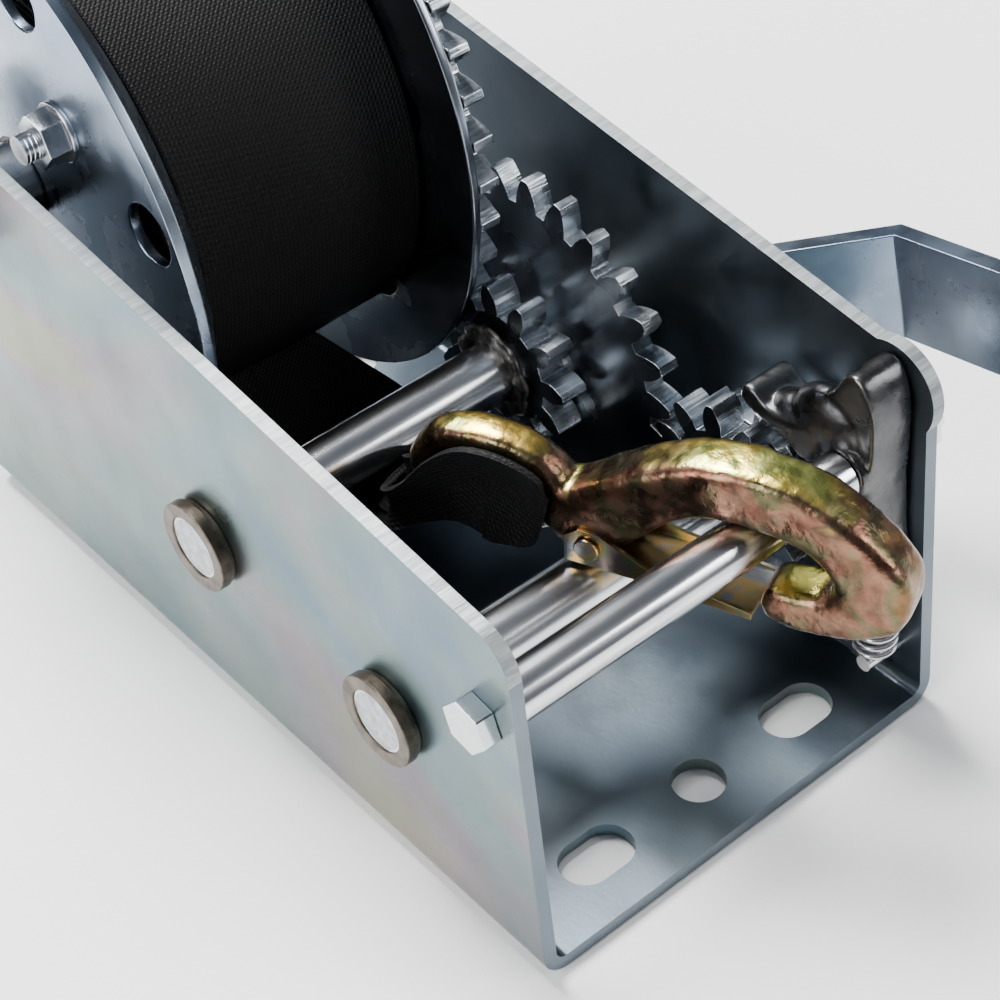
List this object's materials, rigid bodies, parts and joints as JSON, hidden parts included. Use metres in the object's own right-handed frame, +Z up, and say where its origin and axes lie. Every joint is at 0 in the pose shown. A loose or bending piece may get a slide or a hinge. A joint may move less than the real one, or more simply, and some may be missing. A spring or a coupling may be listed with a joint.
{
  "type": "boat trailer winch",
  "caption": "Two-speed hand winch for a boat trailer: bent channel frame, geared drum of webbing, ratchet with a two-way pawl, cranked handle and a snap hook parked on the tie bolt.",
  "frame": {"origin": "centre of the front round mounting hole, on the underside of the base", "axes": "+X along the shafts towards the handle, +Y rearwards from the open front towards the drum, +Z up from the base"},
  "size_m": [0.2781, 0.386, 0.159],
  "materials": {
    "zinc_plate": "blue-passivated zinc plating, satin, faintly mottled",
    "bright_zinc": "bright zinc plating",
    "gear_zinc": "zinc plating over sheared and machined teeth",
    "flange_zinc": "zinc plating, satin",
    "weld_metal": "rough weld bead under plating",
    "bronze": "dark oiled sintered bronze",
    "cast_steel": "dark casting, faintly yellowed",
    "spring_steel": "plain spring wire",
    "yellow_zinc": "yellow-passivated zinc over a forging, iridescent",
    "webbing": "black woven polyester webbing",
    "grip_plastic": "black moulded plastic"
  },
  "bodies": {
    "frame": {"frame_channel": "zinc_plate", "drive_bush_left": "bronze", "drive_bush_right": "bronze", "intermediate_bush_left": "bronze", "intermediate_bush_right": "bronze", "drum_bolt": "bright_zinc", "drum_nut": "bright_zinc", "drum_spacer_left": "bright_zinc", "drum_spacer_right": "bright_zinc", "tie_bolt": "bright_zinc", "tie_washer": "bright_zinc", "tie_nut": "bright_zinc", "tie_tube": "bright_zinc", "pawl_spring": "spring_steel", "spring_seat": "spring_steel", "snap_hook": "yellow_zinc", "latch_rivet": "yellow_zinc", "strap_tail": "webbing"},
    "drum": {"drum_gear": "gear_zinc", "gear_hub": "gear_zinc", "drum_core": "flange_zinc", "drum_flange_left": "flange_zinc", "drum_flange_right": "flange_zinc", "drum_bushing": "bronze", "anchor_bolt": "bright_zinc", "anchor_washer": "bright_zinc", "anchor_nut": "bright_zinc", "strap_wound": "webbing"},
    "intermediate": {"intermediate_shaft": "bright_zinc", "intermediate_retaining_ring": "spring_steel", "small_pinion": "gear_zinc", "pinion_weld": "weld_metal", "gear_spacer": "bright_zinc", "big_gear": "gear_zinc", "intermediate_collar": "bright_zinc", "handle_arm": "flange_zinc", "handle_washer": "bright_zinc", "handle_nut": "bright_zinc", "grip_bolt": "bright_zinc", "grip_washer": "bright_zinc"},
    "grip": {"handle_grip": "grip_plastic"},
    "drive": {"drive_shaft": "bright_zinc", "drive_retaining_ring": "spring_steel", "drive_pinion": "gear_zinc", "ratchet_wheel": "gear_zinc", "drive_collar": "bright_zinc"},
    "pawl": {"pawl": "cast_steel"},
    "latch": {"hook_latch": "yellow_zinc"}
  },
  "joints": [
    {"name": "drum_spin", "type": "hinge", "parent": "frame", "child": "drum", "pos_m": [0, 0.1573, 0.0874], "axis": [1, 0, 0], "continuous": true},
    {"name": "intermediate_spin", "type": "hinge", "parent": "frame", "child": "intermediate", "pos_m": [0, 0.08436, 0.0455], "axis": [1, 0, 0], "continuous": true},
    {"name": "drive_spin", "type": "hinge", "parent": "frame", "child": "drive", "pos_m": [0, 0.0274, 0.0415], "axis": [1, 0, 0], "continuous": true},
    {"name": "grip_spin", "type": "hinge", "parent": "intermediate", "child": "grip", "pos_m": [0.13, -0.14061, 0.09332], "axis": [1, 0, 0], "continuous": true},
    {"name": "pawl_swing", "type": "hinge", "parent": "frame", "child": "pawl", "pos_m": [0.043, -0.00045, 0.0631], "axis": [1, 0, 0], "range_deg": [-3, 4]},
    {"name": "latch_swing", "type": "hinge", "parent": "frame", "child": "latch", "pos_m": [0.00058, 0.02769, 0.0539], "axis": [-0.9135, -0.4067, 0], "range_deg": [0, 12], "stiffness_Nm_per_rad": 0.02}
  ],
  "couplings": [
    {"joint": "intermediate_spin", "follows": "drum_spin", "ratio": -4.0909},
    {"joint": "drive_spin", "follows": "drum_spin", "ratio": 8.8636}
  ]
}
